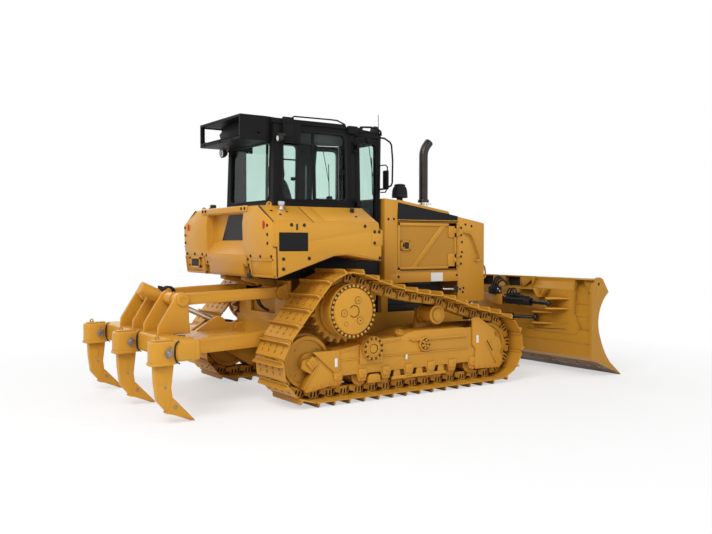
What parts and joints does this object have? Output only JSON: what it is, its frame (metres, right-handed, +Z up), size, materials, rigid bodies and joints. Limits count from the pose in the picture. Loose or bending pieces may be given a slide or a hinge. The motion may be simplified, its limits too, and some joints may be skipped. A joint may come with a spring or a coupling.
{
  "type": "bulldozer",
  "caption": "Mid-size high-drive crawler bulldozer with a six-way blade, a parallelogram ripper with three shanks and a closed cab.",
  "frame": {"origin": "on the ground, at the middle of the machine's length and width", "axes": "+X forward towards the blade, +Y to the machine's left, +Z up"},
  "size_m": [6.067, 3.272, 3.2282],
  "materials": {
    "yellow_paint": "satin",
    "black_paint": "satin",
    "frame_dark": "matte",
    "track_steel": "worn",
    "chrome_rod": "polished",
    "stack_steel": "satin",
    "pale_glass": "tinted",
    "seat_cloth": "woven",
    "console_plastic": "matte"
  },
  "bodies": {
    "machine": {"main_frame": "frame_dark", "engine": "frame_dark", "final_drives": "yellow_paint", "roller_frames": "yellow_paint", "track_wheels": "track_steel", "track_right": "track_steel", "track_left": "track_steel", "rear_tank": "yellow_paint", "hood": "yellow_paint", "radiator_guard": "yellow_paint", "exhaust_stack": "stack_steel", "air_cleaner": "black_paint", "cab_shell": "black_paint", "cab_glass": "pale_glass", "cab_roof": "black_paint", "seat": "seat_cloth", "console": "console_plastic", "ripper_bracket": "yellow_paint"},
    "cab_door_right": {"cab_door_right": "black_paint", "door_glass_right": "pale_glass"},
    "cab_door_left": {"cab_door_left": "black_paint", "door_glass_left": "pale_glass"},
    "engine_door_right": {"engine_door_right": "yellow_paint"},
    "engine_door_left": {"engine_door_left": "yellow_paint"},
    "c_frame": {"c_frame": "yellow_paint"},
    "lift_barrels": {"lift_barrels": "yellow_paint"},
    "lift_rods": {"lift_rods": "chrome_rod"},
    "angle_yoke": {"angle_yoke": "yellow_paint"},
    "blade": {"blade": "yellow_paint", "blade_lugs": "yellow_paint", "cutting_edge": "track_steel"},
    "tilt_barrel": {"tilt_barrel": "yellow_paint"},
    "tilt_rod": {"tilt_rod": "chrome_rod"},
    "angle_gimbal_right": {"angle_gimbal_right": "yellow_paint"},
    "angle_barrel_right": {"angle_barrel_right": "yellow_paint"},
    "angle_rod_right": {"angle_rod_right": "chrome_rod"},
    "angle_gimbal_left": {"angle_gimbal_left": "yellow_paint"},
    "angle_barrel_left": {"angle_barrel_left": "yellow_paint"},
    "angle_rod_left": {"angle_rod_left": "chrome_rod"},
    "ripper_lower_frame": {"ripper_lower_frame": "yellow_paint"},
    "ripper_upper_links": {"ripper_upper_links": "yellow_paint"},
    "ripper_beam": {"ripper_beam": "yellow_paint", "ripper_shanks": "track_steel"},
    "ripper_barrel": {"ripper_barrel": "yellow_paint"},
    "ripper_rod": {"ripper_rod": "chrome_rod"}
  },
  "joints": [
    {"name": "blade_lift", "type": "hinge", "parent": "machine", "child": "c_frame", "pos_m": [-0.1805, 0, 0.5], "axis": [0, -1, 0], "range_deg": [-8.1, 17.4]},
    {"name": "lift_barrel_pitch", "type": "hinge", "parent": "machine", "child": "lift_barrels", "pos_m": [1.6095, 0, 1.115], "axis": [0, 1, 0], "range_deg": [-3.37, 1.57]},
    {"name": "lift_rod_slide", "type": "slide", "parent": "lift_barrels", "child": "lift_rods", "axis": [0.0529, 0, -0.9986], "range_m": [-0.5638, 0.2624]},
    {"name": "blade_angle", "type": "hinge", "parent": "c_frame", "child": "angle_yoke", "pos_m": [2.1395, 0, 0.52], "axis": [0, 0, 1], "range_deg": [-25, 25]},
    {"name": "blade_tilt", "type": "hinge", "parent": "angle_yoke", "child": "blade", "pos_m": [2.1395, 0, 0.52], "axis": [1, 0, 0], "range_deg": [-7, 7]},
    {"name": "tilt_barrel_turn", "type": "hinge", "parent": "angle_yoke", "child": "tilt_barrel", "pos_m": [2.2495, -0.28, 0.93], "axis": [1, 0, 0], "range_deg": [-9.57, 9.57]},
    {"name": "tilt_rod_slide", "type": "slide", "parent": "tilt_barrel", "child": "tilt_rod", "axis": [0.0506, -0.9985, -0.019], "range_m": [-0.0511, 0.0511]},
    {"name": "angle_gimbal_right_turn", "type": "hinge", "parent": "c_frame", "child": "angle_gimbal_right", "pos_m": [1.9495, -0.14, 0.71], "axis": [0, 0, 1], "range_deg": [-25.5, 25.5]},
    {"name": "angle_barrel_right_pitch", "type": "hinge", "parent": "angle_gimbal_right", "child": "angle_barrel_right", "pos_m": [1.9495, -0.14, 0.71], "axis": [-0.811, -0.585, 0], "range_deg": [-7.14, 7.14]},
    {"name": "angle_rod_right_slide", "type": "slide", "parent": "angle_barrel_right", "child": "angle_rod_right", "axis": [0.585, -0.811, 0], "range_m": [-0.1024, 0.1024]},
    {"name": "angle_gimbal_left_turn", "type": "hinge", "parent": "c_frame", "child": "angle_gimbal_left", "pos_m": [1.9495, 0.14, 0.71], "axis": [0, 0, 1], "range_deg": [-25.5, 25.5]},
    {"name": "angle_barrel_left_pitch", "type": "hinge", "parent": "angle_gimbal_left", "child": "angle_barrel_left", "pos_m": [1.9495, 0.14, 0.71], "axis": [0.811, -0.585, 0], "range_deg": [-7.14, 7.14]},
    {"name": "angle_rod_left_slide", "type": "slide", "parent": "angle_barrel_left", "child": "angle_rod_left", "axis": [0.585, 0.811, 0], "range_m": [-0.1024, 0.1024]},
    {"name": "ripper_lift", "type": "hinge", "parent": "machine", "child": "ripper_lower_frame", "pos_m": [-1.3685, 0, 0.677], "axis": [0, 1, 0], "range_deg": [-23, 26]},
    {"name": "ripper_upper_turn", "type": "hinge", "parent": "machine", "child": "ripper_upper_links", "pos_m": [-1.3685, 0, 1.157], "axis": [0, 1, 0], "range_deg": [-23.46, 26.52]},
    {"name": "ripper_beam_turn", "type": "hinge", "parent": "ripper_lower_frame", "child": "ripper_beam", "pos_m": [-2.5065, 0, 0.6365], "axis": [0, 1, 0], "range_deg": [-26.52, 23.46]},
    {"name": "ripper_barrel_turn", "type": "hinge", "parent": "ripper_beam", "child": "ripper_barrel", "pos_m": [-2.5065, 0, 1.1165], "axis": [0, 1, 0], "range_deg": [-16.42, 18.56]},
    {"name": "ripper_rod_slide", "type": "slide", "parent": "ripper_barrel", "child": "ripper_rod", "axis": [0.9068, 0, -0.4215], "range_m": [-0.1761, 0.199]},
    {"name": "cab_door_right_swing", "type": "hinge", "parent": "machine", "child": "cab_door_right", "pos_m": [-0.3905, -0.616, 1.3], "axis": [0, 0, -1], "range_deg": [0, 105]},
    {"name": "cab_door_left_swing", "type": "hinge", "parent": "machine", "child": "cab_door_left", "pos_m": [-0.3905, 0.616, 1.3], "axis": [0, 0, 1], "range_deg": [0, 105]},
    {"name": "engine_door_right_swing", "type": "hinge", "parent": "machine", "child": "engine_door_right", "pos_m": [1.2425, -0.48, 1.37], "axis": [0, 0, 1], "range_deg": [0, 95]},
    {"name": "engine_door_left_swing", "type": "hinge", "parent": "machine", "child": "engine_door_left", "pos_m": [1.2425, 0.48, 1.37], "axis": [0, 0, -1], "range_deg": [0, 95]}
  ],
  "couplings": [
    {"joint": "lift_barrel_pitch", "follows": "blade_lift", "ratio": -0.19},
    {"joint": "lift_rod_slide", "follows": "blade_lift", "m_per_rad": -1.82},
    {"joint": "tilt_barrel_turn", "follows": "blade_tilt", "ratio": 1.34},
    {"joint": "tilt_rod_slide", "follows": "blade_tilt", "m_per_rad": 0.41},
    {"joint": "angle_gimbal_right_turn", "follows": "blade_angle", "ratio": 1},
    {"joint": "angle_barrel_right_pitch", "follows": "blade_tilt", "ratio": -1},
    {"joint": "angle_rod_right_slide", "follows": "blade_angle", "m_per_rad": 0.23},
    {"joint": "angle_gimbal_left_turn", "follows": "blade_angle", "ratio": 1},
    {"joint": "angle_barrel_left_pitch", "follows": "blade_tilt", "ratio": 1},
    {"joint": "angle_rod_left_slide", "follows": "blade_angle", "m_per_rad": -0.23},
    {"joint": "ripper_upper_turn", "follows": "ripper_lift", "ratio": 1},
    {"joint": "ripper_beam_turn", "follows": "ripper_lift", "ratio": -1},
    {"joint": "ripper_barrel_turn", "follows": "ripper_lift", "ratio": 0.7},
    {"joint": "ripper_rod_slide", "follows": "ripper_lift", "m_per_rad": 0.43}
  ]
}
